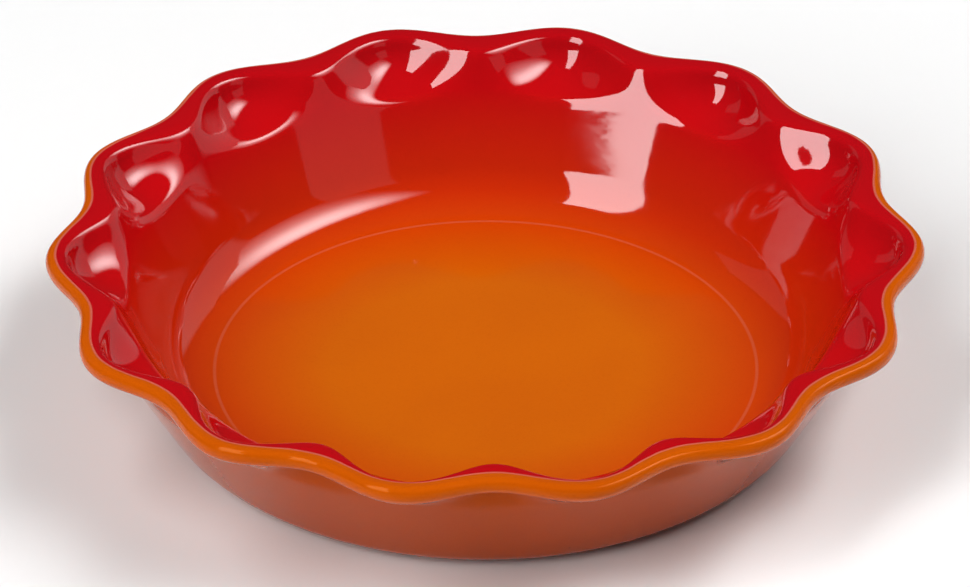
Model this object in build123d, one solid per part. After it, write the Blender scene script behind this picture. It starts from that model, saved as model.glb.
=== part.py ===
"""A round stoneware pie dish with a ruffled rim, glazed red inside and orange outside.

Millimetres, +Z up, origin on the table plane at the middle of the foot, a lobe of the rim on +X.
The dish is one fired clay body under three coats of glaze, and each coat is a solid of its own.
The profiles lie in upright planes through the axis, as pairs of radius and height.
"""

from build123d import *
from math import cos, hypot, radians, sin, tan
import os

# Overall size
dish_height = 49.8
rim_diameter = 267.0

# Outer wall, up to the shoulder that the ruffled rim springs from
flange_width = 15.2
rim_depth = 14.7
outer_lean = 29.55
base_corner_radius = 12.0

# Inner wall, cove and floor
wall_width = 10.0
inner_lean = 26.57
floor_height = 7.0
cove_radius = 18.0

# Ruffled rim: the wave dies out in the plain wall this far below the shoulder
lobe_count = 14
ruffle_depth = 7.36
lip_thickness = 4.7
wave_depth = 7.1
sections_per_lobe = 8

# Bare foot ring, standing proud of the glazed base, and the shallow recess inside it.
# The margin is the glazed flat from the base's rounded corner in to the ring.
foot_margin = 2.75
foot_width = 5.0
foot_edge_radius = 0.6
base_lift = 0.6
recess_depth = 1.4

# Coats of glaze
glaze_thickness = 0.5

# Worked out from the sizes above
lobe_pitch = 360 / lobe_count
lip_radius = lip_thickness / 2
lip_height = dish_height - lip_radius
lobe_crown = rim_diameter / 2 - lip_radius
notch_crown = lobe_crown - ruffle_depth
shoulder_radius = rim_diameter / 2 - flange_width
shoulder_height = dish_height - rim_depth
wave_start = shoulder_height - wave_depth
wave_height = dish_height - wave_start
base_radius = shoulder_radius - (shoulder_height - base_lift) * tan(radians(outer_lean))
base_round_run = base_corner_radius * tan(radians(90 - outer_lean) / 2)
foot_radius = base_radius - base_round_run - foot_margin
recess_radius = foot_radius - foot_width

# Control points of the rim's profiles, at the middle of a lobe and of a notch.
# Wall shares climb the straight wall, from the wave's start to the top of the dish.
# Flange shares run from the wall at the shoulder to the crown of the lip, and up the rim's depth.
# Lip shares are counted in lip radii from the middle of the lip, outwards and upwards.
lobe_inside_wall_shares = (0, 0.183, 0.294, 0.422)
lobe_inside_flange_shares = ((0.206, 0.197), (0.424, 0.279), (0.652, 0.442))
lobe_inside_lip_shares = ((-2.106, -0.872), (-1.766, 0.66), (-1, 1), (0, 1))
notch_inside_wall_shares = (0, 0.229, 0.367, 0.505, 0.642, 0.78, 0.899)
notch_inside_flange_shares = ()
notch_inside_lip_shares = ((-3.36, 0.787), (-2.55, 1), (-1.27, 1), (0, 1))
lobe_outside_wall_shares = (0, 0.115, 0.229)
lobe_outside_flange_shares = ((0, 0), (0.179, 0.122), (0.49, 0.279), (0.786, 0.442))
lobe_outside_lip_shares = ((0.385, -1.553), (1.172, -0.66), (1.13, 0.574), (0.598, 1), (0, 1))
notch_outside_wall_shares = (0, 0.138, 0.257)
notch_outside_flange_shares = ((0.036, 0.075), (0.073, 0.299), (0.164, 0.51))
notch_outside_lip_shares = ((-0.951, -1.085), (0.581, -1.213), (1.177, -0.362), (1.134, 0.66), (0.623, 1), (0, 1))


def outer_wall(height):
    """Point on the straight outer wall at a height."""
    return (shoulder_radius + (height - shoulder_height) * tan(radians(outer_lean)), height)


def inner_wall(height):
    """Point on the straight inner wall at a height."""
    mouth = shoulder_radius - wall_width
    return (mouth + (height - shoulder_height) * tan(radians(inner_lean)), height)


def rim_profile(wall, crown, wall_shares, flange_shares, lip_shares):
    """Control points of one side of the rim, from the plain wall up to the crown of the lip."""
    root = wall(shoulder_height)[0]
    points = [wall(wave_start + share * wave_height) for share in wall_shares]
    points += [(root + out * (crown - root), shoulder_height + up * rim_depth) for out, up in flange_shares]
    points += [(crown + out * lip_radius, lip_height + up * lip_radius) for out, up in lip_shares]
    return points


def blend(notch_points, lobe_points, share):
    """Profile between the notch's and the lobe's: 0 gives the notch, 1 the lobe."""
    pairs = zip(notch_points, lobe_points)
    return [(n[0] + (l[0] - n[0]) * share, n[1] + (l[1] - n[1]) * share) for n, l in pairs]


def moved_out(points, distance):
    """Profile moved square to itself, away from the axis on a rising wall."""
    moved = []
    for index, point in enumerate(points):
        before = points[max(index - 1, 0)]
        after = points[min(index + 1, len(points) - 1)]
        run = after[0] - before[0]
        rise = after[1] - before[1]
        length = hypot(run, rise)
        moved.append((point[0] + rise / length * distance, point[1] - run / length * distance))
    return moved


def inside_profile(share):
    """Inner side of the rim at one place on the wave."""
    lobe = rim_profile(inner_wall, lobe_crown, lobe_inside_wall_shares,
                       lobe_inside_flange_shares, lobe_inside_lip_shares)
    notch = rim_profile(inner_wall, notch_crown, notch_inside_wall_shares,
                        notch_inside_flange_shares, notch_inside_lip_shares)
    return blend(notch, lobe, share)


def outside_profile(share):
    """Outer side of the rim at one place on the wave."""
    lobe = rim_profile(outer_wall, lobe_crown, lobe_outside_wall_shares,
                       lobe_outside_flange_shares, lobe_outside_lip_shares)
    notch = rim_profile(outer_wall, notch_crown, notch_outside_wall_shares,
                        notch_outside_flange_shares, notch_outside_lip_shares)
    return blend(notch, lobe, share)


def round_points(corner, lean, radius, depth):
    """Wall end, middle and flat end of the round between a leaning wall and the flat at its foot.

    The round's centre lies above the flat on the axis side, and depth is added to its radius.
    """
    half_turn = radians(90 - lean) / 2
    centre = (corner[0] - radius * tan(half_turn), corner[1] + radius)
    reach = radius + depth
    on_wall = (centre[0] + reach * cos(radians(lean)), centre[1] - reach * sin(radians(lean)))
    middle = (centre[0] + reach * sin(half_turn), centre[1] - reach * cos(half_turn))
    on_flat = (centre[0], centre[1] - reach)
    return on_wall, middle, on_flat


def at_angle(point, angle):
    """A profile point set up in the plane at an angle round the axis."""
    turn = radians(angle)
    return Vector(point[0] * cos(turn), point[0] * sin(turn), point[1])


def line(start, end, angle):
    """Straight edge of a profile."""
    return Edge.make_line(at_angle(start, angle), at_angle(end, angle))


def arc(start, middle, end, angle):
    """Circular edge of a profile."""
    return Edge.make_three_point_arc(*[at_angle(point, angle) for point in (start, middle, end)])


def curve(points, angle):
    """Cubic edge of a profile, pulled towards its control points and ending on the last ones."""
    spans = len(points) - 3
    knots = [0] * 4 + [step / spans for step in range(1, spans)] + [1] * 4
    return Edge.make_bspline([at_angle(point, angle) for point in points], knots, 3)


def section(depth, angle):
    """One profile of the whole wall, up its outside, over the lip and down its inside.

    It starts at the foot ring and ends on the floor, and lies a depth below the glazed surface.
    """
    share = (1 + cos(radians(angle * lobe_count))) / 2
    outside = moved_out(outside_profile(share), -depth)
    inside = moved_out(inside_profile(share), depth)
    base_round = round_points(outer_wall(base_lift), outer_lean, base_corner_radius, -depth)
    cove = round_points(inner_wall(floor_height), inner_lean, cove_radius, depth)
    foot = (foot_radius, base_lift + depth)
    return Wire([
        line(foot, base_round[2], angle),
        arc(base_round[2], base_round[1], base_round[0], angle),
        line(base_round[0], outside[0], angle),
        curve(outside, angle),
        curve(inside[::-1], angle),
        line(inside[0], cove[0], angle),
        arc(*cove, angle),
    ])


def petal(depth):
    """Outer faces and inner faces of one lobe, lofted from notch to notch."""
    turns = [(step / sections_per_lobe - 1 / 2) * lobe_pitch for step in range(sections_per_lobe + 1)]
    faces = Shell.make_loft([section(depth, turn) for turn in turns]).faces()
    return faces[:4], faces[4:]


def all_round(shapes):
    """Shapes repeated once for each lobe."""
    return [Rot(0, 0, lobe_pitch * index) * shape for index in range(lobe_count) for shape in shapes]


def inmost_edge(face):
    """Edge of a face that lies nearest the axis."""
    return min(face.edges(), key=lambda edge: hypot(edge.center().X, edge.center().Y))


def crown_edge(face):
    """Edge of a face that runs along the crown of the lip."""
    return face.edges().sort_by(Axis.Z)[-1]


def disc(edge):
    """Flat round face inside a rim edge that repeats with each lobe."""
    return Face(Wire(all_round([edge])))


def sewn_solid(faces):
    """Solid inside a closed set of faces."""
    return Solid(Shell(Face.sew_faces(faces)[0]))


def foot_ring():
    """Unglazed ring that the dish stands on, with eased edges, rooted in the clay above."""
    edge = foot_edge_radius
    left = recess_radius
    right = foot_radius
    top = base_lift + glaze_thickness
    half = edge * cos(radians(45))
    outline = Wire([
        Edge.make_line(Vector(left, 0, top), Vector(left, 0, edge)),
        Edge.make_three_point_arc(Vector(left, 0, edge), Vector(left + edge - half, 0, edge - half),
                                  Vector(left + edge, 0, 0)),
        Edge.make_line(Vector(left + edge, 0, 0), Vector(right - edge, 0, 0)),
        Edge.make_three_point_arc(Vector(right - edge, 0, 0), Vector(right - edge + half, 0, edge - half),
                                  Vector(right, 0, edge)),
        Edge.make_line(Vector(right, 0, edge), Vector(right, 0, top)),
        Edge.make_line(Vector(right, 0, top), Vector(left, 0, top)),
    ])
    return Solid.revolve(Face(outline), 360, Axis.Z)


def recess_disc(bottom, thickness):
    """Round slab that fills the inside of the foot ring between two heights."""
    return Pos(0, 0, bottom + thickness / 2) * Cylinder(recess_radius, thickness)


def stoneware_body(clay_outside, clay_inside):
    """Fired clay, from the foot ring to the lip."""
    floor = disc(inmost_edge(clay_inside[-1]))
    base = disc(inmost_edge(clay_outside[0]))
    wall = sewn_solid(all_round(clay_outside + clay_inside) + [floor, base])
    return wall + foot_ring() - recess_disc(0, recess_depth + glaze_thickness)


def inner_glaze(clay_inside, glazed_inside, crown):
    """Coat over the floor, the cove, the inner wall and the inner half of the lip."""
    floors = [disc(inmost_edge(faces[-1])) for faces in (clay_inside, glazed_inside)]
    return sewn_solid(all_round(clay_inside + glazed_inside + [crown]) + floors)


def outer_glaze(clay_outside, glazed_outside, crown):
    """Coat over the outer half of the lip, the outer wall and the base, down to the foot ring."""
    foot = Face.make_surface_from_curves(inmost_edge(clay_outside[0]), inmost_edge(glazed_outside[0]))
    return sewn_solid(all_round(clay_outside + glazed_outside + [crown, foot]))


def base_glaze():
    """Coat on the recessed base, inside the foot ring."""
    return recess_disc(recess_depth, glaze_thickness)


def main():
    clay_outside, clay_inside = petal(glaze_thickness)
    glazed_outside, glazed_inside = petal(0)
    crown = Face.make_surface_from_curves(crown_edge(clay_outside[-1]), crown_edge(glazed_outside[-1]))
    pieces = {
        "stoneware_body": stoneware_body(clay_outside, clay_inside),
        "inner_glaze": inner_glaze(clay_inside, glazed_inside, crown),
        "outer_glaze": outer_glaze(clay_outside, glazed_outside, crown),
        "base_glaze": base_glaze(),
    }
    os.makedirs("parts", exist_ok=True)
    for name, solid in pieces.items():
        export_step(solid, f"parts/{name}.step")
        print(name, round(solid.volume / 1000, 1), "cm3", solid.is_valid)


main()
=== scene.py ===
"""Looks of a round stoneware pie dish with a ruffled rim, and the studio that it stands in.

Metres, in the frame of the CAD: +Z up, origin at the middle of the foot on the table plane, a lobe on +X.
Every surface of the dish is a profile carried round the axis. At each angle the rim's profile is a blend
of a lobe's and a notch's, and the blend follows a cosine wave with one crest for each lobe.
"""

from math import cos, pi, radians, sin, tan

import bpy
import numpy as np
from bpy.props import FloatProperty, FloatVectorProperty, IntProperty, PointerProperty
from mathutils import Matrix, Vector


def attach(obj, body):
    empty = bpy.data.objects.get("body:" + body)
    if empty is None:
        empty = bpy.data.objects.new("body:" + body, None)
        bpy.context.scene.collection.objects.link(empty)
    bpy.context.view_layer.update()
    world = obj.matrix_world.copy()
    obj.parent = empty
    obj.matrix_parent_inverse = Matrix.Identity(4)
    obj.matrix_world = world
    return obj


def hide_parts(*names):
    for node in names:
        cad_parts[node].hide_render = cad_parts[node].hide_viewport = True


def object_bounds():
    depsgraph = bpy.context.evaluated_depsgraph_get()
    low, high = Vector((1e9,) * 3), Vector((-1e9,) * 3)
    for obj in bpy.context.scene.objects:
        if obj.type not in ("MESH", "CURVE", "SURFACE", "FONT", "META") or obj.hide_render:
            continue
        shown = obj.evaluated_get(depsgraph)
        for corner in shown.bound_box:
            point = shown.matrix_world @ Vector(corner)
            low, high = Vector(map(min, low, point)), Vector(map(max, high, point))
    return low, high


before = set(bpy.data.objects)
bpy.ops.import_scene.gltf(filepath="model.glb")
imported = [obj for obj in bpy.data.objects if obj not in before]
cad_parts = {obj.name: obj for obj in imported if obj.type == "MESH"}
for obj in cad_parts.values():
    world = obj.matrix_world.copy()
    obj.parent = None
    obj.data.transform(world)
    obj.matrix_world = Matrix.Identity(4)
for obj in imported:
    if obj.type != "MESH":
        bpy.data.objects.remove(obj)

bl_info = {
    "name": "Pie dish",
    "version": (1, 0, 0),
    "blender": (4, 5, 0),
    "location": "3D View > Sidebar > Pie dish",
    "description": "Builds a glazed stoneware pie dish with a ruffled rim, and its studio",
    "category": "Mesh",
}

cad_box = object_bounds()

# Control points of the rim's profiles, as in the solids.
# Wall shares climb the straight wall, from the wave's start to the top of the dish.
# Flange shares run from the wall at the shoulder to the crown of the lip, and up the rim's depth.
# Lip shares are counted in lip radii from the middle of the lip, outwards and upwards.
inside_shares = {
    "lobe": {
        "wall": (0, 0.183, 0.294, 0.422),
        "flange": ((0.206, 0.197), (0.424, 0.279), (0.652, 0.442)),
        "lip": ((-2.106, -0.872), (-1.766, 0.66), (-1, 1), (0, 1)),
    },
    "notch": {
        "wall": (0, 0.229, 0.367, 0.505, 0.642, 0.78, 0.899),
        "flange": (),
        "lip": ((-3.36, 0.787), (-2.55, 1), (-1.27, 1), (0, 1)),
    },
}
outside_shares = {
    "lobe": {
        "wall": (0, 0.115, 0.229),
        "flange": ((0, 0), (0.179, 0.122), (0.49, 0.279), (0.786, 0.442)),
        "lip": ((0.385, -1.553), (1.172, -0.66), (1.13, 0.574), (0.598, 1), (0, 1)),
    },
    "notch": {
        "wall": (0, 0.138, 0.257),
        "flange": ((0.036, 0.075), (0.073, 0.299), (0.164, 0.51)),
        "lip": ((-0.951, -1.085), (0.581, -1.213), (1.177, -0.362), (1.134, 0.66), (0.623, 1), (0, 1)),
    },
}

# Steps of the grids: round the dish for each lobe, and along the parts of a profile, on the glazed
# surface and on what it hides
steps_per_lobe = 30
fine_steps = {"floor": 14, "round": 16, "wall": 10, "rim": 64}
hidden_steps = {"floor": 3, "round": 8, "wall": 4, "rim": 26}
foot_edge_steps = 8
recess_steps = 12
hidden_recess_steps = 4

# Place along the rim of one more point just before the crown, where the two coats meet
crown_nearness = 0.999
# Angle between faces from which an edge is shaded sharp
sharp_edge_angle = radians(50)

# Index of refraction and tint of the reflection: the clear red glaze and the warmer orange one
clear_sheen = (1.6, (1, 1, 1, 1))
orange_sheen = (1.34, (1, 0.42, 0.12, 1))

# Each glaze: the shade in its mottling, how much of that shows, the height of its ripples, and its sheen
red_glaze_look = ((0.3, 0.004, 0.003), 0.12, 0.00012, clear_sheen)
orange_glaze_look = ((0.3, 0.025, 0.001), 0.2, 0.00012, orange_sheen)
base_glaze_look = ((0.3, 0.03, 0.002), 0.3, 0.0002, orange_sheen)

# Features per metre in every glaze: clouds and spray of its mottling, slow ripples, orange peel, patches
# of roughness, and the cells of which a few hold a pinhole
cloud_scale = 22
spray_scale = 1100
ripple_scale = 34
peel_scale = 330
roughness_scale = 60
pinhole_cell_scale = 85

# Share of the clouds in the mottling, the rest being spray
cloud_share = 0.6

# Height of the orange peel and depth of the pinholes, as shares of the ripples' height
peel_height = 0.06
pinhole_depth = 0.15

# Roughness of the glaze, from its smoothest patches to its roughest
glaze_roughness = (0.035, 0.07)

# Pinholes: the lot above which a cell has one, the radii in cells where its edge begins and ends, how
# much of its colour shows, and the colour
pinhole_lot = 0.93
pinhole_radius = 0.045
pinhole_core = 0.02
pinhole_share = 0.5
pinhole_brown = (0.05, 0.006, 0.003, 1)

# Length up the inside, from the middle of the floor, at which the glaze is fully crimson
crimson_run = 0.16

# Painted highlight at the edge of the floor, a pale ring: its colour, how much of it shows, and half its
# full and faint widths
highlight_ring_colour = (0.75, 0.4, 0.25, 1)
highlight_ring_share = 0.1
highlight_ring_full = 0.0002
highlight_ring_faint = 0.0007

# Line where red ends and orange begins, outwards from the crown: its mean place, how much further out it
# lies at the back and in at the front, and the whole width of its wander
join_place = -0.0003
join_swing = 0.0016
join_wander = 0.0016
join_wander_scale = 45

# Where the thin rose line of painted highlight comes in, before the join, and the length over which it
# gives way to orange
highlight_line_start = -0.0005
highlight_line_full = -0.0001
highlight_line_fade = 0.0006

# Lengths from the crown between which the bright orange of the lip deepens to that of the wall
lip_orange_end = 0.003
wall_orange_start = 0.016

# Clouds on the base: their features per metre, and their brightness beside the orange round them
base_cloud_scale = 18
base_cloud_brightness = 0.8

# Clay: features per metre of its grain and patches, brightness of the dark ones beside the rest, height
# of the grain, least and most roughness, colour where it is toasted beside the glaze, and the share of
# the foot ring's half width that is left untoasted
grain_scale = 1500
patch_scale = 60
dark_brightness = 0.62
grain_height = 0.0002
clay_roughness = (0.75, 0.95)
toasted_clay = (0.3, 0.14, 0.06, 1)
untoasted_share = 0.72

# Studio panels. The corners are azimuth and elevation seen from the dish, round the panel from its lower
# left, with azimuth counted from the camera's far side and positive to the right. Then come the radiance,
# its share at heights up the panel, and how far in from each side it fades.
even = ((0, 1), (1, 1))
studio_panels = (
    ("left_panel", ((-150.3, 22.4), (-122.9, 15.3), (-77, 69.3), (-92.5, 76.6)), 7.2, even, 0.01),
    ("right_softbox", ((60.1, 18.5), (136.3, 35), (158.2, 63), (33.3, 39.5)), 10.0,
     ((0, 0.03), (0.16, 0.12), (0.32, 0.24), (0.42, 0.39), (0.52, 0.64), (0.63, 0.9), (0.73, 1), (0.78, 1),
      (0.89, 0.71), (0.94, 0.32), (1, 0)), 0.46),
    ("front_sheet", ((120, 14), (149, 14), (149, 38), (120, 38)), 0.3, even, 0.02),
    ("right_sheet", ((30, 0), (88, 0), (88, 38), (30, 38)), 0.5, even, 0.1),
    ("left_sheet", ((-64, 6), (-38, 6), (-38, 46), (-64, 46)), 0.2, even, 0.1),
)
panel_distance = 3.0

# Pale floor, and the dim light from everywhere else
floor_reach = 8.0
floor_sides = 96
floor_white = (0.9, 0.9, 0.9, 1)
floor_roughness = 0.8
world_white = (1, 1, 1, 1)
world_strength = 0.03

# The camera, fitted to the photograph: its distance, elevation and roll, and how far it is turned round
# from the notch on -Y
camera_distance = 2.84585
camera_elevation = radians(33.039)
camera_roll = radians(-0.152)
camera_turn = radians(1.082)
camera_pivot_height = 0.023726
camera_aim = (-0.00015, 0.00456, 0.03074)
camera_lens = 345.6
camera_sensor = 36.0
camera_clip_end = 100


class DishSizes(bpy.types.PropertyGroup):
    """Sizes of the dish, the same as those of its solids."""

    dish_height: FloatProperty(
        name="Height", description="Table to the crown of the lip", unit="LENGTH",
        default=float(cad_box[1][2] - cad_box[0][2]))
    rim_diameter: FloatProperty(
        name="Rim diameter", description="Across the rim, over two lobes", unit="LENGTH", default=0.267)
    flange_width: FloatProperty(
        name="Flange width", description="Shoulder to the outside of a lobe", unit="LENGTH", default=0.0152)
    rim_depth: FloatProperty(
        name="Rim depth", description="Shoulder to the crown of the lip", unit="LENGTH", default=0.0147)
    outer_lean: FloatProperty(
        name="Outer lean", description="Lean of the outer wall from upright", subtype="ANGLE",
        default=radians(29.55))
    base_corner_radius: FloatProperty(
        name="Base corner", description="Radius of the round under the outer wall", unit="LENGTH",
        default=0.012)
    wall_width: FloatProperty(
        name="Wall width", description="Level width of the wall at the shoulder", unit="LENGTH",
        default=0.01)
    inner_lean: FloatProperty(
        name="Inner lean", description="Lean of the inner wall from upright", subtype="ANGLE",
        default=radians(26.57))
    floor_height: FloatProperty(
        name="Floor height", description="Table to the glazed floor", unit="LENGTH", default=0.007)
    cove_radius: FloatProperty(
        name="Cove radius", description="Radius of the round at the edge of the floor", unit="LENGTH",
        default=0.018)
    lobe_count: IntProperty(name="Lobes", description="Lobes round the rim", default=14, min=3)
    ruffle_depth: FloatProperty(
        name="Ruffle depth", description="How far the lip swings in at a notch", unit="LENGTH",
        default=0.00736)
    lip_thickness: FloatProperty(
        name="Lip thickness", description="Thickness of the rounded lip", unit="LENGTH", default=0.0047)
    wave_depth: FloatProperty(
        name="Wave depth", description="How far below the shoulder the ruffle dies out", unit="LENGTH",
        default=0.0071)
    base_margin: FloatProperty(
        name="Base margin", description="Glazed flat between the foot ring and the round", unit="LENGTH",
        default=0.00275)
    foot_width: FloatProperty(
        name="Foot width", description="Width of the bare foot ring", unit="LENGTH", default=0.005)
    foot_edge_radius: FloatProperty(
        name="Foot edge", description="Radius of the foot ring's edges", unit="LENGTH", default=0.0006)
    base_lift: FloatProperty(
        name="Base lift", description="Table to the glazed base outside the foot ring", unit="LENGTH",
        default=0.0006)
    recess_depth: FloatProperty(
        name="Recess depth", description="Table to the glazed base inside the foot ring", unit="LENGTH",
        default=0.0014)
    glaze_thickness: FloatProperty(
        name="Glaze thickness", description="Thickness of each coat of glaze", unit="LENGTH",
        default=0.0005)


class DishColours(bpy.types.PropertyGroup):
    """Colours of the glaze and the clay."""

    rim_red: FloatVectorProperty(
        name="Rim red", description="Glaze on the lip and in the pockets", subtype="COLOR", size=3,
        default=(0.42, 0.0015, 0.006))
    wall_red: FloatVectorProperty(
        name="Wall red", description="Glaze on the upper part of the inner wall", subtype="COLOR", size=3,
        default=(0.52, 0.002, 0.004))
    cove_orange: FloatVectorProperty(
        name="Cove orange", description="Glaze at the foot of the inner wall", subtype="COLOR", size=3,
        default=(0.55, 0.024, 0.001))
    floor_orange: FloatVectorProperty(
        name="Floor orange", description="Glaze in the middle of the floor", subtype="COLOR", size=3,
        default=(0.6, 0.12, 0.001))
    lip_orange: FloatVectorProperty(
        name="Lip orange", description="Glaze on the outside of the lip", subtype="COLOR", size=3,
        default=(0.56, 0.09, 0.001))
    outside_orange: FloatVectorProperty(
        name="Outside orange", description="Glaze on the outer wall", subtype="COLOR", size=3,
        default=(0.4, 0.052, 0.001))
    # Painted highlight: a thin pale pink line along the join of the red and orange glazes
    seam_highlight_pink: FloatVectorProperty(
        name="Seam rose", description="Thin line where the red glaze ends on the lip", subtype="COLOR",
        size=3, default=(0.6, 0.12, 0.08))
    bare_clay: FloatVectorProperty(
        name="Bare clay", description="Fired clay of the foot ring", subtype="COLOR", size=3,
        default=(0.6, 0.46, 0.33))


# Profiles and surfaces

def even_angles(count):
    """Equal angles once round from +X: 2 x pi x step / count."""
    return np.arange(count) / count * 2 * pi


def column_count(sizes):
    """Columns of the grids, once round the dish."""
    return sizes.lobe_count * steps_per_lobe


def wall_radius(sizes, side, height):
    """Radius of the straight outer or inner wall at a height: a line that leans out from upright."""
    shoulder = sizes.rim_diameter / 2 - sizes.flange_width
    above = height - (sizes.dish_height - sizes.rim_depth)
    if side == "outside":
        return shoulder + above * tan(sizes.outer_lean)
    return shoulder - sizes.wall_width + above * tan(sizes.inner_lean)


def rim_control_points(sizes, side, place):
    """Control points of the rim's profile at a lobe or a notch, from the plain wall to the crown."""
    shares = (outside_shares if side == "outside" else inside_shares)[place]
    lip_radius = sizes.lip_thickness / 2
    crown = sizes.rim_diameter / 2 - lip_radius - (sizes.ruffle_depth if place == "notch" else 0)
    shoulder_height = sizes.dish_height - sizes.rim_depth
    start = shoulder_height - sizes.wave_depth
    heights = [start + share * (sizes.dish_height - start) for share in shares["wall"]]
    root = wall_radius(sizes, side, shoulder_height)
    points = [(wall_radius(sizes, side, height), height) for height in heights]
    points += [(root + out * (crown - root), shoulder_height + up * sizes.rim_depth)
               for out, up in shares["flange"]]
    points += [(crown + out * lip_radius, sizes.dish_height - lip_radius + up * lip_radius)
               for out, up in shares["lip"]]
    return np.array(points)


def spline_weights(point_count, places):
    """Weight of each control point of an even clamped cubic B-spline at places from 0 to 1.

    Each degree mixes the weights of the one below: a point's own, rising from its first knot, and the
    next point's, falling to its last.
    """
    spans = point_count - 3
    just_under_one = 1 - 1e-12
    knots = np.concatenate([np.zeros(4), np.arange(1, spans) / spans, np.ones(4)])
    held = np.minimum(places, just_under_one)[:, None]
    weights = ((held >= knots[:-1]) & (held < knots[1:])).astype(float)
    for degree in (1, 2, 3):
        count = len(knots) - 1 - degree
        last = knots[degree + 1:degree + 1 + count]
        rise = knots[degree:degree + count] - knots[:count]
        fall = last - knots[1:1 + count]
        up = np.where(rise > 0, (held - knots[:count]) / np.where(rise > 0, rise, 1), 0)
        down = np.where(fall > 0, (last - held) / np.where(fall > 0, fall, 1), 0)
        weights = up * weights[:, :count] + down * weights[:, 1:1 + count]
    return weights


def moved_out(points, distance):
    """Profiles moved square to themselves: each point goes along the normal of its neighbours' chord."""
    padded = np.concatenate([points[:, :1], points, points[:, -1:]], axis=1)
    chord = padded[:, 2:] - padded[:, :-2]
    length = np.hypot(chord[..., 0], chord[..., 1])[..., None]
    normal = np.stack([chord[..., 1], -chord[..., 0]], axis=-1) / length
    return points + normal * distance


def foot_of_wall(sizes, side):
    """Lean of a side's wall, radius of the round at its foot, and height of the flat beside that."""
    if side == "outside":
        return sizes.outer_lean, sizes.base_corner_radius, sizes.base_lift
    return sizes.inner_lean, sizes.cove_radius, sizes.floor_height


def flat_radius(sizes, side):
    """Radius where the flat ends: the leaning wall's at that height, less radius x tan(half the turn)."""
    lean, radius, flat = foot_of_wall(sizes, side)
    return wall_radius(sizes, side, flat) - radius * tan((pi / 2 - lean) / 2)


def foot_radius(sizes):
    """Outer radius of the foot ring."""
    return flat_radius(sizes, "outside") - sizes.base_margin


def flat_and_round(sizes, side, depth, steps):
    """Flat and round below the leaning wall, outwards from the foot ring or the middle of the floor.

    The round is part of a circle that touches the flat and the wall, turned from straight down by
    equal steps.
    """
    outside = side == "outside"
    lean, radius, flat = foot_of_wall(sizes, side)
    centre = flat_radius(sizes, side)
    reach = radius - depth if outside else radius + depth
    turns = np.linspace(0, pi / 2 - lean, steps["round"])
    circle = np.stack([centre + reach * np.sin(turns), flat + radius - reach * np.cos(turns)], axis=-1)
    start = foot_radius(sizes) if outside else 0
    level = np.linspace((start, circle[0, 1]), circle[0], steps["floor"])
    return np.concatenate([level[:-1], circle])


def side_profiles(sizes, side, depth, steps):
    """One side of the wall as a grid of radius and height: angles by steps up the profile.

    It starts at the foot ring or the middle of the floor, ends at the crown of the lip, and lies a
    depth below the glazed surface. The rim blends notch and lobe by (1 + cos(lobes x angle)) / 2.
    """
    angles = even_angles(column_count(sizes))
    wave = (1 + np.cos(sizes.lobe_count * angles)) / 2
    lobe = rim_control_points(sizes, side, "lobe")
    notch = rim_control_points(sizes, side, "notch")
    control = notch + (lobe - notch) * wave[:, None, None]
    control = moved_out(control, -depth if side == "outside" else depth)
    places = np.append(np.linspace(0, 1, steps["rim"])[:-1], (crown_nearness, 1))
    rim = np.einsum("pc,acd->apd", spline_weights(len(lobe), places), control)
    foot = flat_and_round(sizes, side, depth, steps)
    wall = np.linspace(foot[-1], rim[0, 0], steps["wall"])[1:-1]
    low = np.concatenate([foot, wall])
    return np.concatenate([np.repeat(low[None], len(angles), axis=0), rim], axis=1)


def path_lengths(profiles):
    """Length along each profile from its first point."""
    steps = np.linalg.norm(np.diff(profiles, axis=1), axis=-1)
    return np.concatenate([np.zeros((len(profiles), 1)), np.cumsum(steps, axis=1)], axis=1)


def in_scene(name, data):
    """New object that holds a mesh or a camera, in the scene."""
    item = bpy.data.objects.new(name, data)
    bpy.context.scene.collection.objects.link(item)
    return item


def carried_round(name, profiles, closed, attributes=None):
    """Mesh of a profile carried once round the axis: x = r cos(angle), y = r sin(angle), z = height.

    A closed profile joins its last point to its first. An open one starts and ends on the axis, and
    its two ends become one point each. Drawn with the axis at the left, the faces point to the right
    of the profile's way.
    """
    columns, rows = profiles.shape[:2]
    angles = even_angles(columns)
    grid = np.stack([profiles[..., 0] * np.cos(angles)[:, None],
                     profiles[..., 0] * np.sin(angles)[:, None], profiles[..., 1]], axis=-1)
    ring = np.arange(columns)
    following = (ring + 1) % columns
    spans = rows if closed else rows - 3
    first = 0 if closed else 1
    row = np.arange(spans) + first
    after = (row + 1) % rows
    number = (ring[:, None] * rows + row, following[:, None] * rows + row,
              following[:, None] * rows + after, ring[:, None] * rows + after)
    quads = np.stack(number, axis=-1).reshape(-1, 4)
    triangles = np.zeros((0, 3), int)
    if not closed:
        start = np.stack([np.zeros_like(ring), following * rows + 1, ring * rows + 1], axis=-1)
        last = rows - 1
        end = np.stack([np.full_like(ring, last), ring * rows + last - 1,
                        following * rows + last - 1], axis=-1)
        triangles = np.concatenate([start, end])
    points = grid.reshape(-1, 3)
    used = np.unique(np.concatenate([quads.ravel(), triangles.ravel()]))
    renumber = np.zeros(len(points), int)
    renumber[used] = np.arange(len(used))
    mesh = bpy.data.meshes.new(name)
    mesh.from_pydata(points[used].tolist(), [], renumber[quads].tolist() + renumber[triangles].tolist())
    for label, values in (attributes or {}).items():
        layer = mesh.attributes.new(label, "FLOAT", "POINT")
        layer.data.foreach_set("value", values.reshape(-1)[used].astype(np.float32))
    mesh.shade_smooth()
    mesh.set_sharp_from_angle(angle=sharp_edge_angle)
    return in_scene(name, mesh)


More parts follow.
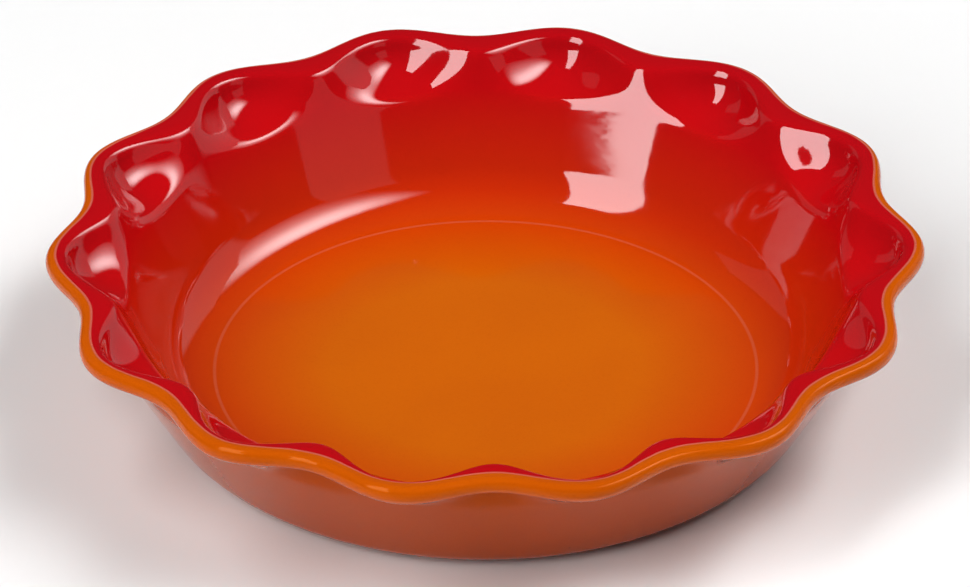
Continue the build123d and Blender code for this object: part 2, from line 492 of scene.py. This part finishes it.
def coat(name, sizes, side):
    """Coat of glaze on one side: the glazed surface, then back along the clay half a millimetre below.

    run is the length along the glazed profile from its start, and from_crown the length to its end.
    The inside's profile is turned end for end, so that its faces point out of the glaze too.
    """
    glazed = side_profiles(sizes, side, 0, fine_steps)
    clay = side_profiles(sizes, side, sizes.glaze_thickness, hidden_steps)
    profiles = np.concatenate([glazed, clay[:, ::-1]], axis=1)
    lengths = path_lengths(glazed)
    clay_lengths = path_lengths(clay)[:, ::-1]
    run = np.concatenate([lengths, clay_lengths], axis=1)
    from_crown = np.concatenate([lengths[:, -1:] - lengths, clay_lengths[:, :1] - clay_lengths], axis=1)
    if side == "inside":
        profiles, run, from_crown = profiles[:, ::-1], run[:, ::-1], from_crown[:, ::-1]
    return carried_round(name, profiles, side == "outside", {"run": run, "from_crown": from_crown})


def foot_profile(sizes):
    """Bare foot ring from its outer side inwards: a quarter round down, level, a quarter round up, and
    the ceiling of the recess to the axis.
    """
    outer = foot_radius(sizes)
    inner = outer - sizes.foot_width
    edge = sizes.foot_edge_radius
    turns = np.linspace(0, pi / 2, foot_edge_steps)
    outer_round = np.stack([outer - edge + edge * np.cos(turns), edge - edge * np.sin(turns)], axis=-1)
    inner_round = np.stack([inner + edge - edge * np.sin(turns), edge - edge * np.cos(turns)], axis=-1)
    ceiling = sizes.recess_depth + sizes.glaze_thickness
    recess = [(inner, ceiling), (inner / 2, ceiling), (0, ceiling)]
    return np.concatenate([outer_round, inner_round, recess])


def clay_body(name, sizes):
    """Fired clay: from the axis along the floor, up the inside, over the lip, down the outside, and round
    the foot ring back to the axis.
    """
    depth = sizes.glaze_thickness
    inside = side_profiles(sizes, "inside", depth, hidden_steps)
    outside = side_profiles(sizes, "outside", depth, hidden_steps)[:, ::-1]
    foot = np.repeat(foot_profile(sizes)[None], len(inside), axis=0)
    return carried_round(name, np.concatenate([inside, outside[:, 1:], foot], axis=1)[:, ::-1], False)


def base_coat(name, sizes):
    """Flat round coat in the recess: level below, up beside the foot ring, and level above."""
    radius = foot_radius(sizes) - sizes.foot_width
    low = sizes.recess_depth
    high = low + sizes.glaze_thickness
    level = np.linspace((0, low), (radius, low), recess_steps)
    back = np.linspace((radius, high), (0, high), hidden_recess_steps)
    profile = np.concatenate([level, back])
    return carried_round(name, np.repeat(profile[None], column_count(sizes), axis=0), False)


# Materials

def new_node(tree, kind, inputs=None, **settings):
    """Node of a kind, with its settings and the values of its sockets."""
    node = tree.nodes.new(kind)
    for key, value in settings.items():
        setattr(node, key, value)
    for key, value in (inputs or {}).items():
        if isinstance(value, bpy.types.NodeSocket):
            tree.links.new(value, node.inputs[key])
        else:
            node.inputs[key].default_value = value
    return node


def calculated(tree, operation, *values):
    """Output of a Math node."""
    return new_node(tree, "ShaderNodeMath", dict(enumerate(values)), operation=operation).outputs[0]


def mixed(tree, share, first, second):
    """Colour output of a Mix node: a share of the second colour over the first."""
    inputs = {0: share, 6: first, 7: second}
    return new_node(tree, "ShaderNodeMix", inputs, data_type="RGBA").outputs[2]


def mapped(tree, value, low, high, to_low=0.0, to_high=1.0):
    """Smooth step of a value between two limits."""
    inputs = {"Value": value, "From Min": low, "From Max": high, "To Min": to_low, "To Max": to_high}
    return new_node(tree, "ShaderNodeMapRange", inputs, interpolation_type="SMOOTHSTEP").outputs[0]


def colour_ramp(tree, value, stops):
    """Colours along a value from 0 to 1."""
    ramp = new_node(tree, "ShaderNodeValToRGB", {"Fac": value})
    elements = ramp.color_ramp.elements
    elements[0].position, elements[0].color = stops[0]
    elements[1].position, elements[1].color = stops[-1]
    for position, colour in stops[1:-1]:
        elements.new(position).color = colour
    return ramp.outputs["Color"]


def own_place(tree):
    """Place in the piece's own space."""
    return new_node(tree, "ShaderNodeTexCoord").outputs["Object"]


def level_place(tree):
    """Place in the piece's own space with its height left out."""
    inputs = {0: own_place(tree), 1: (1, 1, 0)}
    return new_node(tree, "ShaderNodeVectorMath", inputs, operation="MULTIPLY").outputs[0]


def noise(tree, scale, detail=2.0):
    """Noise in the piece's own space, in features per metre."""
    inputs = {"Vector": own_place(tree), "Scale": scale, "Detail": detail}
    return new_node(tree, "ShaderNodeTexNoise", inputs).outputs["Fac"]


def rgba(colour):
    """Colour with full alpha."""
    return (*colour, 1.0)


def glaze_skin_group():
    """Node group for fired glaze: spray mottling, pinholes, slow ripples and a fine orange peel."""
    group = bpy.data.node_groups.new("glaze_skin", "ShaderNodeTree")
    sockets = (("Colour", "INPUT", "NodeSocketColor"), ("Deep colour", "INPUT", "NodeSocketColor"),
               ("Mottling", "INPUT", "NodeSocketFloat"), ("Colour", "OUTPUT", "NodeSocketColor"),
               ("Roughness", "OUTPUT", "NodeSocketFloat"), ("Height", "OUTPUT", "NodeSocketFloat"))
    for name, way, kind in sockets:
        group.interface.new_socket(name, in_out=way, socket_type=kind)
    given = group.nodes.new("NodeGroupInput")
    result = group.nodes.new("NodeGroupOutput")
    clouds = mapped(group, noise(group, cloud_scale, 3.0), 0.35, 0.7)
    clouds = calculated(group, "MULTIPLY", clouds, given.outputs["Mottling"])
    spray = mapped(group, noise(group, spray_scale, 1.0), 0.5, 0.75)
    spray = calculated(group, "MULTIPLY", spray, given.outputs["Mottling"])
    shade = calculated(group, "ADD", calculated(group, "MULTIPLY", clouds, cloud_share),
                       calculated(group, "MULTIPLY", spray, 1 - cloud_share))
    colour = mixed(group, shade, given.outputs["Colour"], given.outputs["Deep colour"])
    inputs = {"Vector": own_place(group), "Scale": pinhole_cell_scale}
    cells = new_node(group, "ShaderNodeTexVoronoi", inputs)
    lot = new_node(group, "ShaderNodeSeparateColor", {"Color": cells.outputs["Color"]}).outputs[0]
    chosen = calculated(group, "GREATER_THAN", lot, pinhole_lot)
    dot = mapped(group, cells.outputs["Distance"], pinhole_radius, pinhole_core)
    dot = calculated(group, "MULTIPLY", dot, chosen)
    colour = mixed(group, calculated(group, "MULTIPLY", dot, pinhole_share), colour, pinhole_brown)
    peel = calculated(group, "MULTIPLY", noise(group, peel_scale, 1.0), peel_height)
    ripples = calculated(group, "ADD", noise(group, ripple_scale, 1.0), peel)
    height = calculated(group, "SUBTRACT", ripples, calculated(group, "MULTIPLY", dot, pinhole_depth))
    rough = mapped(group, noise(group, roughness_scale), 0.3, 0.75, *glaze_roughness)
    group.links.new(colour, result.inputs["Colour"])
    group.links.new(rough, result.inputs["Roughness"])
    group.links.new(height, result.inputs["Height"])
    return group


def glaze_skin():
    """The shared glaze group, built on first use."""
    return bpy.data.node_groups.get("glaze_skin") or glaze_skin_group()


def new_material(name):
    """Empty node material with its shader: returns the material, its tree and the Principled node."""
    material = bpy.data.materials.new(name)
    material.use_nodes = True
    tree = material.node_tree
    return material, tree, tree.nodes["Principled BSDF"]


def glaze_material(name, colour_of, look):
    """Glossy fired glaze of one of the looks above. colour_of makes the colour in the material's tree."""
    deep, mottling, ripple_height, sheen = look
    material, tree, shader = new_material(name)
    skin = new_node(tree, "ShaderNodeGroup", node_tree=glaze_skin())
    tree.links.new(colour_of(tree), skin.inputs["Colour"])
    skin.inputs["Deep colour"].default_value = rgba(deep)
    skin.inputs["Mottling"].default_value = mottling
    bump = new_node(tree, "ShaderNodeBump", {"Strength": 1.0, "Distance": ripple_height,
                                             "Height": skin.outputs["Height"]})
    tree.links.new(skin.outputs["Colour"], shader.inputs["Base Color"])
    tree.links.new(skin.outputs["Roughness"], shader.inputs["Roughness"])
    tree.links.new(bump.outputs["Normal"], shader.inputs["Normal"])
    shader.inputs["IOR"].default_value, shader.inputs["Specular Tint"].default_value = sheen
    return material


def length_of(tree, label):
    """A length kept on the piece's points."""
    return new_node(tree, "ShaderNodeAttribute", attribute_name=label).outputs["Fac"]


def past_join(tree, outwards):
    """Length past the line where red glaze ends and orange begins, outwards along the surface.

    The line wanders, and lies outside the crown of the lip at the back and inside it at the front: its
    place is swing x y / radius, plus the mean place and the wander.
    """
    level = {0: level_place(tree)}
    heading = new_node(tree, "ShaderNodeVectorMath", level, operation="NORMALIZE").outputs[0]
    back = new_node(tree, "ShaderNodeSeparateXYZ", {0: heading}).outputs["Y"]
    join = calculated(tree, "ADD", calculated(tree, "MULTIPLY", back, join_swing), join_place)
    drift = calculated(tree, "SUBTRACT", noise(tree, join_wander_scale), 0.5)
    wander = calculated(tree, "MULTIPLY", drift, join_wander)
    return calculated(tree, "SUBTRACT", outwards, calculated(tree, "ADD", join, wander))


def joined(tree, past, inside, outside, colours):
    """Inside colour up to the join, a thin rose line of painted highlight on it, and the outside colour
    past it.
    """
    # Painted highlight: the rose line stands in for the light caught along the join
    rose = mixed(tree, mapped(tree, past, highlight_line_start, highlight_line_full), inside, rgba(colours.seam_highlight_pink))
    return mixed(tree, mapped(tree, past, 0.0, highlight_line_fade), rose, outside)


def red_glaze_colour(colours, floor_edge):
    """Inside colour: orange floor, through the cove and wall to crimson, up to the join on the lip.

    A thin paler ring of painted highlight runs at the floor's edge, where the floor meets the cove.
    """
    def build(tree):
        floor, cove, wall, rim = (rgba(colour) for colour in (
            colours.floor_orange, colours.cove_orange, colours.wall_red, colours.rim_red))
        share = calculated(tree, "DIVIDE", length_of(tree, "run"), crimson_run)
        ramp = colour_ramp(tree, share, ((0.0, floor), (0.3, floor), (0.6, cove), (0.8, wall), (1.0, rim)))
        # Painted highlight: a pale ring on the floor's edge, in place of the light reflected along it
        past_edge = calculated(tree, "SUBTRACT", length_of(tree, "run"), floor_edge)
        ring = mapped(tree, calculated(tree, "ABSOLUTE", past_edge), highlight_ring_faint, highlight_ring_full, 0.0, highlight_ring_share)
        ramp = mixed(tree, ring, ramp, highlight_ring_colour)
        outwards = calculated(tree, "MULTIPLY", length_of(tree, "from_crown"), -1.0)
        return joined(tree, past_join(tree, outwards), ramp, rgba(colours.lip_orange), colours)
    return build


def orange_glaze_colour(colours):
    """Outside colour: red up to the join, bright orange where the glaze runs thin, deeper down the wall."""
    def build(tree):
        away = length_of(tree, "from_crown")
        deepening = mapped(tree, away, lip_orange_end, wall_orange_start)
        wall = mixed(tree, deepening, rgba(colours.lip_orange), rgba(colours.outside_orange))
        return joined(tree, past_join(tree, away), rgba(colours.rim_red), wall, colours)
    return build


def base_glaze_colour(colours):
    """Base colour: the orange of the outside, with darker clouds."""
    def build(tree):
        clouds = mapped(tree, noise(tree, base_cloud_scale, 3.0), 0.3, 0.8)
        darker = rgba([channel * base_cloud_brightness for channel in colours.outside_orange])
        return mixed(tree, clouds, rgba(colours.outside_orange), darker)
    return build


def clay_material(name, colours, ring_middle, ring_half):
    """Bare fired clay: sandy, matt and grainy, with a toasted line where it meets the glaze.

    The line is where the place is near half the ring's width away from the ring's middle radius.
    """
    material, tree, shader = new_material(name)
    grain = noise(tree, grain_scale)
    patches = noise(tree, patch_scale, 3.0)
    dark = rgba([channel * dark_brightness for channel in colours.bare_clay])
    colour = mixed(tree, mapped(tree, grain, 0.45, 0.7, 0.0, 0.6), rgba(colours.bare_clay), dark)
    colour = mixed(tree, mapped(tree, patches, 0.4, 0.8, 0.0, 0.35), colour, dark)
    level = {0: level_place(tree)}
    radius = new_node(tree, "ShaderNodeVectorMath", level, operation="LENGTH").outputs["Value"]
    off = calculated(tree, "ABSOLUTE", calculated(tree, "SUBTRACT", radius, ring_middle))
    toasting = mapped(tree, off, ring_half * untoasted_share, ring_half)
    colour = mixed(tree, toasting, colour, toasted_clay)
    bump = new_node(tree, "ShaderNodeBump", {"Strength": 0.6, "Distance": grain_height, "Height": grain})
    tree.links.new(colour, shader.inputs["Base Color"])
    tree.links.new(mapped(tree, grain, 0.3, 0.7, *clay_roughness), shader.inputs["Roughness"])
    tree.links.new(bump.outputs["Normal"], shader.inputs["Normal"])
    return material


def finish_piece(piece, material, node):
    """Give a piece its material, and let it stand for its CAD node."""
    piece.data.materials.append(material)
    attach(piece, "root")
    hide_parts(node)


# Studio

def direction(azimuth, elevation):
    """Unit vector towards a place seen from the dish, with azimuth from the camera's far side."""
    turn = radians(azimuth) - camera_turn
    level = cos(radians(elevation))
    return Vector((level * sin(turn), level * cos(turn), sin(radians(elevation))))


def turned(point):
    """A point of the photograph's frame, turned into the dish's."""
    return Matrix.Rotation(-camera_turn, 3, "Z") @ Vector(point)


def place_camera():
    """Camera at the photograph's viewpoint."""
    data = bpy.data.cameras.new("photo_camera")
    data.lens = camera_lens
    data.sensor_width = camera_sensor
    data.clip_end = camera_clip_end
    camera = in_scene("photo_camera", data)
    back = camera_distance * cos(camera_elevation)
    up = camera_pivot_height + camera_distance * sin(camera_elevation)
    place = turned((0, -back, up))
    aim = turned(camera_aim)
    look = (aim - place).to_track_quat("-Z", "Y").to_matrix().to_4x4()
    camera.matrix_world = Matrix.Translation(place) @ look @ Matrix.Rotation(camera_roll, 4, "Z")
    bpy.context.scene.camera = camera


def panel_light(name, corners, radiance, rise, side_fade):
    """Flat glowing panel, square to the line from the dish to its middle.

    Each corner lies in its direction from the dish, where that meets the panel's plane.
    """
    ways = [direction(*corner) for corner in corners]
    facing = sum(ways, Vector()).normalized()
    mesh = bpy.data.meshes.new(name)
    mesh.from_pydata([way * (panel_distance / way.dot(facing)) for way in ways], [], [(0, 1, 2, 3)])
    places = mesh.uv_layers.new(name="places")
    places.data.foreach_set("uv", (0, 0, 1, 0, 1, 1, 0, 1))
    material = bpy.data.materials.new(name)
    material.use_nodes = True
    tree = material.node_tree
    tree.nodes.clear()
    across = new_node(tree, "ShaderNodeUVMap", uv_map="places").outputs[0]
    parts = new_node(tree, "ShaderNodeSeparateXYZ", {0: across})
    off = calculated(tree, "ABSOLUTE", calculated(tree, "SUBTRACT", parts.outputs[0], 0.5))
    grey = [(place, (share, share, share, 1)) for place, share in rise]
    up = colour_ramp(tree, parts.outputs[1], grey)
    strength = calculated(tree, "MULTIPLY", mapped(tree, off, 0.5, 0.5 - side_fade, 0.0, radiance), up)
    glow = new_node(tree, "ShaderNodeEmission", {"Strength": strength})
    output = new_node(tree, "ShaderNodeOutputMaterial")
    tree.links.new(glow.outputs[0], output.inputs["Surface"])
    mesh.materials.append(material)
    panel = in_scene(name, mesh)
    panel.visible_camera = False


def studio_floor(name):
    """Pale level floor: one wide disc, with its corners at equal angles round a circle."""
    angles = even_angles(floor_sides)
    corners = np.stack([np.cos(angles), np.sin(angles), 0 * angles], axis=-1) * floor_reach
    mesh = bpy.data.meshes.new(name)
    mesh.from_pydata(corners.tolist(), [], [list(range(floor_sides))])
    material, _, shader = new_material("studio_white")
    shader.inputs["Base Color"].default_value = floor_white
    shader.inputs["Roughness"].default_value = floor_roughness
    mesh.materials.append(material)
    in_scene(name, mesh)


def studio_world(name):
    """Dim even light from all round."""
    world = bpy.data.worlds.new(name)
    world.use_nodes = True
    background = world.node_tree.nodes["Background"]
    background.inputs["Color"].default_value = world_white
    background.inputs["Strength"].default_value = world_strength
    bpy.context.scene.world = world


# Operators and their panel

class PIEDISH_OT_inner_glaze(bpy.types.Operator):
    """Coat of glaze on the inside, red at the rim and orange on the floor"""

    bl_idname = "pie_dish.inner_glaze"
    bl_label = "Inner glaze"

    def execute(self, context):
        sizes = context.scene.pie_dish_sizes
        colours = context.scene.pie_dish_colours
        piece = coat("inner_glaze_coat", sizes, "inside")
        colour_of = red_glaze_colour(colours, flat_radius(sizes, "inside"))
        material = glaze_material("red_to_orange_glaze", colour_of, red_glaze_look)
        finish_piece(piece, material, "inner_glaze")
        return {"FINISHED"}


class PIEDISH_OT_outer_glaze(bpy.types.Operator):
    """Coat of glaze on the outside, from the lip down to the foot ring"""

    bl_idname = "pie_dish.outer_glaze"
    bl_label = "Outer glaze"

    def execute(self, context):
        colours = context.scene.pie_dish_colours
        piece = coat("outer_glaze_coat", context.scene.pie_dish_sizes, "outside")
        material = glaze_material("orange_glaze", orange_glaze_colour(colours), orange_glaze_look)
        finish_piece(piece, material, "outer_glaze")
        return {"FINISHED"}


class PIEDISH_OT_base_glaze(bpy.types.Operator):
    """Coat of glaze inside the foot ring"""

    bl_idname = "pie_dish.base_glaze"
    bl_label = "Base glaze"

    def execute(self, context):
        colours = context.scene.pie_dish_colours
        piece = base_coat("base_glaze_coat", context.scene.pie_dish_sizes)
        material = glaze_material("base_orange_glaze", base_glaze_colour(colours), base_glaze_look)
        finish_piece(piece, material, "base_glaze")
        return {"FINISHED"}


class PIEDISH_OT_clay_body(bpy.types.Operator):
    """Fired clay body, bare on the foot ring"""

    bl_idname = "pie_dish.clay_body"
    bl_label = "Clay body"

    def execute(self, context):
        sizes = context.scene.pie_dish_sizes
        colours = context.scene.pie_dish_colours
        piece = clay_body("clay_body", sizes)
        half = sizes.foot_width / 2
        material = clay_material("bare_stoneware", colours, foot_radius(sizes) - half, half)
        finish_piece(piece, material, "stoneware_body")
        return {"FINISHED"}


class PIEDISH_OT_stage(bpy.types.Operator):
    """Pale floor, studio lights and camera"""

    bl_idname = "pie_dish.stage"
    bl_label = "Studio"

    def execute(self, context):
        context.scene.view_settings.view_transform = "Standard"
        studio_floor("studio_floor")
        studio_world("studio_world")
        for panel in studio_panels:
            panel_light(*panel)
        place_camera()
        return {"FINISHED"}


class PIEDISH_PT_build(bpy.types.Panel):
    """Sidebar panel with the dish's operators, sizes and colours"""

    bl_idname = "PIEDISH_PT_build"
    bl_label = "Pie dish"
    bl_space_type = "VIEW_3D"
    bl_region_type = "UI"
    bl_category = "Pie dish"

    def draw(self, context):
        column = self.layout.column()
        for operator in operators:
            column.operator(operator.bl_idname)
        for group in (context.scene.pie_dish_sizes, context.scene.pie_dish_colours):
            for name in group.__annotations__:
                column.prop(group, name)


operators = (PIEDISH_OT_inner_glaze, PIEDISH_OT_outer_glaze, PIEDISH_OT_base_glaze, PIEDISH_OT_clay_body,
             PIEDISH_OT_stage)
classes = (DishSizes, DishColours, *operators, PIEDISH_PT_build)


def register():
    """Register the classes, and give the scene its sizes and colours."""
    for item in classes:
        bpy.utils.register_class(item)
    bpy.types.Scene.pie_dish_sizes = PointerProperty(type=DishSizes)
    bpy.types.Scene.pie_dish_colours = PointerProperty(type=DishColours)


def unregister():
    """Take all of that back."""
    del bpy.types.Scene.pie_dish_colours
    del bpy.types.Scene.pie_dish_sizes
    for item in reversed(classes):
        bpy.utils.unregister_class(item)


def main():
    """Build the dish and its studio."""
    register()
    bpy.ops.pie_dish.inner_glaze()
    bpy.ops.pie_dish.outer_glaze()
    bpy.ops.pie_dish.base_glaze()
    bpy.ops.pie_dish.clay_body()
    bpy.ops.pie_dish.stage()


if __name__ == "__main__":
    main()
